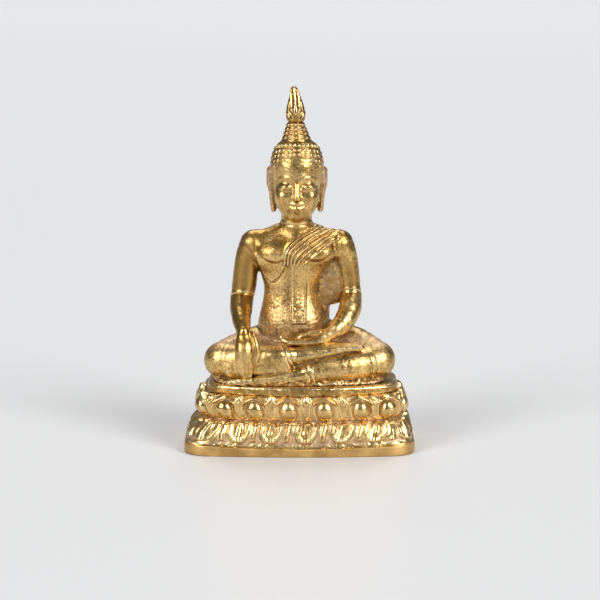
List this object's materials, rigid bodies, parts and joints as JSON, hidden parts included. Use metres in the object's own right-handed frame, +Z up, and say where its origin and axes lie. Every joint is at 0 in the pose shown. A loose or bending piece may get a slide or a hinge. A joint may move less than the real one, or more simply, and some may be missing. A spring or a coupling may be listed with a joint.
{
  "type": "seated buddha statue",
  "caption": "Small cast brass seated buddha, one hand reaching down to touch the earth, on a double lotus pedestal, with a flame finial that lifts off the crown.",
  "frame": {"origin": "middle of the footprint, on the face that the statue stands on", "axes": "+Z up through the crown, -Y the way the figure faces, +X towards the figure's own left"},
  "size_m": [0.046, 0.025, 0.072],
  "materials": {
    "cast_brass": "cast, rubbed bright on the high parts, with a brown-pink bloom in the hollows",
    "pedestal_brass": "cast, bright petals with a brown-pink bloom between them",
    "sheet_brass": "rolled and brushed",
    "fastener_steel": "turned"
  },
  "bodies": {
    "statue": {"figure_casting": "cast_brass", "right_forearm": "cast_brass", "left_forearm": "cast_brass", "seat_slab": "pedestal_brass", "upper_lotus_tier": "pedestal_brass", "lower_lotus_tier": "pedestal_brass", "base_plate": "sheet_brass", "tie_screw": "fastener_steel", "locating_dowels": "fastener_steel", "elbow_dowels": "fastener_steel"},
    "finial": {"flame_finial": "cast_brass"}
  },
  "joints": [
    {"name": "finial_lift", "type": "slide", "parent": "statue", "child": "finial", "axis": [0, 0, 1], "range_m": [0, 0.012]}
  ]
}
